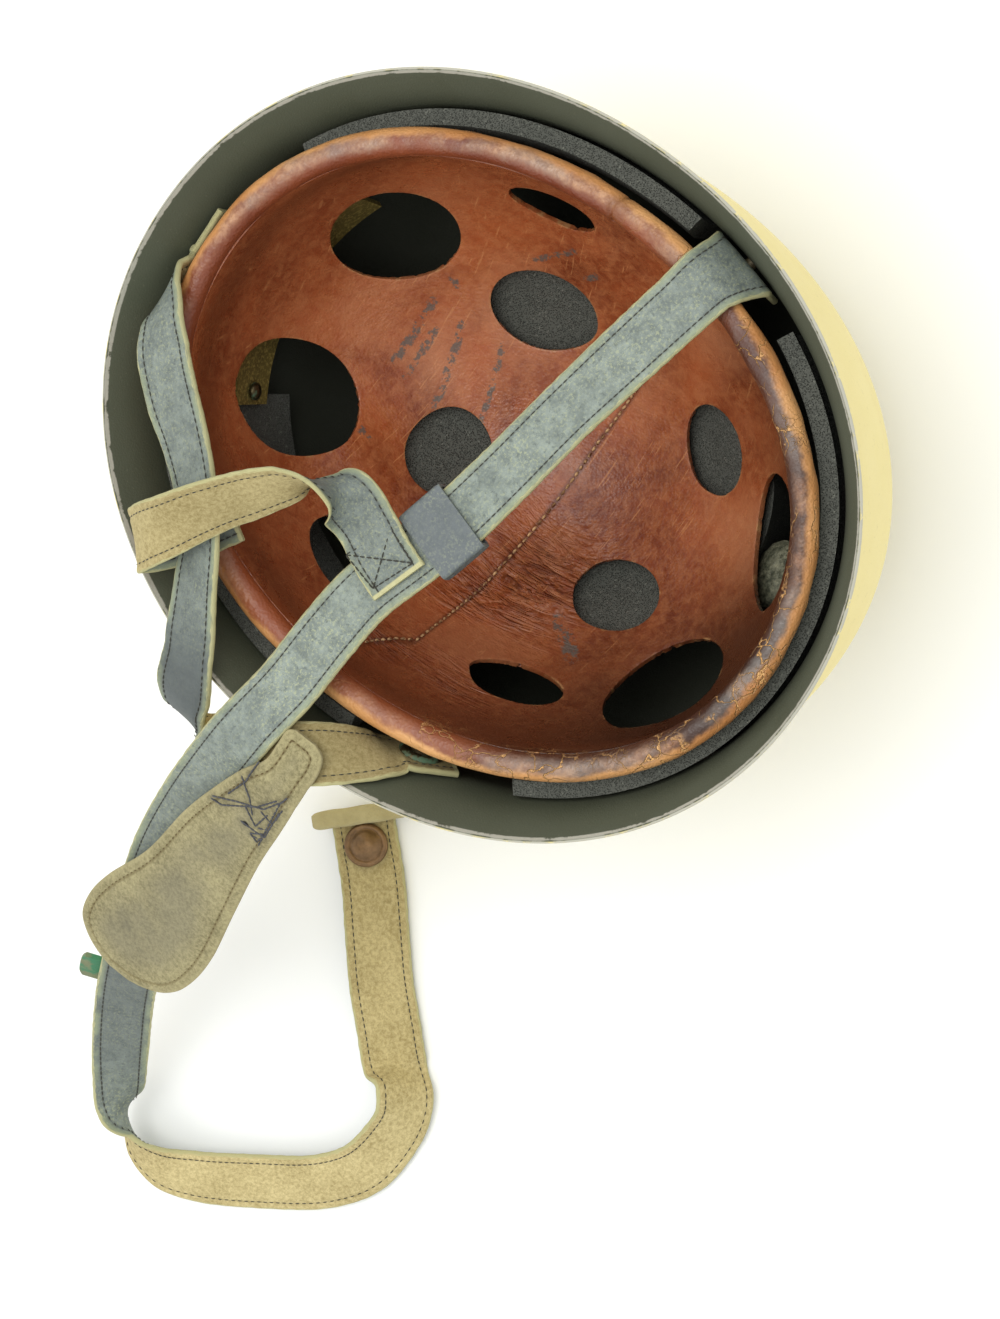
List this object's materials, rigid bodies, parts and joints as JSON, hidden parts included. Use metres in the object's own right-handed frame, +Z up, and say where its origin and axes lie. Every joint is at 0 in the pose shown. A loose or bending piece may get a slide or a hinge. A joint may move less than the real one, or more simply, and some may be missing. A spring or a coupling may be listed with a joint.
{
  "type": "paratrooper helmet",
  "caption": "Rimless steel helmet resting on its crown, with a leather liner full of round air holes, foam pads and a Y-shaped leather chin harness with chin pad and snap.",
  "frame": {"origin": "centre of the small flat on the crown of the shell, where the upturned helmet touches the surface", "axes": "+Z up from the crown to the open rim, -Y towards the forehead, +X to the wearer's right"},
  "size_m": [0.4562, 0.2798, 0.1942],
  "materials": {
    "shell_paint": "matt sand paint outside, dark olive inside",
    "liner_leather": "smooth red-brown hide, worn",
    "roll_leather": "smooth tan hide, polished by wear",
    "foam": "dark fine-celled foam with cut faces",
    "strap_leather": "grey-blue grain side, suede back, raw pale edges",
    "suede": "tan suede",
    "tab_leather": "dull olive",
    "fittings": "darkened and corroded metal",
    "snap_metal": "tarnished"
  },
  "bodies": {
    "root": {"shell": "shell_paint", "liner": "liner_leather", "liner_roll": "roll_leather", "foam_rear_right": "foam", "foam_front": "foam", "foam_rear_left": "foam", "foam_crown": "foam", "rear_band": "tab_leather", "rear_rivet": "fittings", "front_button": "tab_leather", "main_strap": "strap_leather", "nape_strap": "strap_leather", "loop_strap": "strap_leather", "bolt_right": "fittings", "eyelet_right": "fittings", "bolt_left": "fittings", "eyelet_left": "fittings", "bolt_rear": "fittings", "eyelet_rear": "fittings", "keeper": "strap_leather", "chin_pad": "suede", "snap": "snap_metal", "tail_tab": "suede", "stud_tab": "strap_leather"}
  },
  "joints": []
}
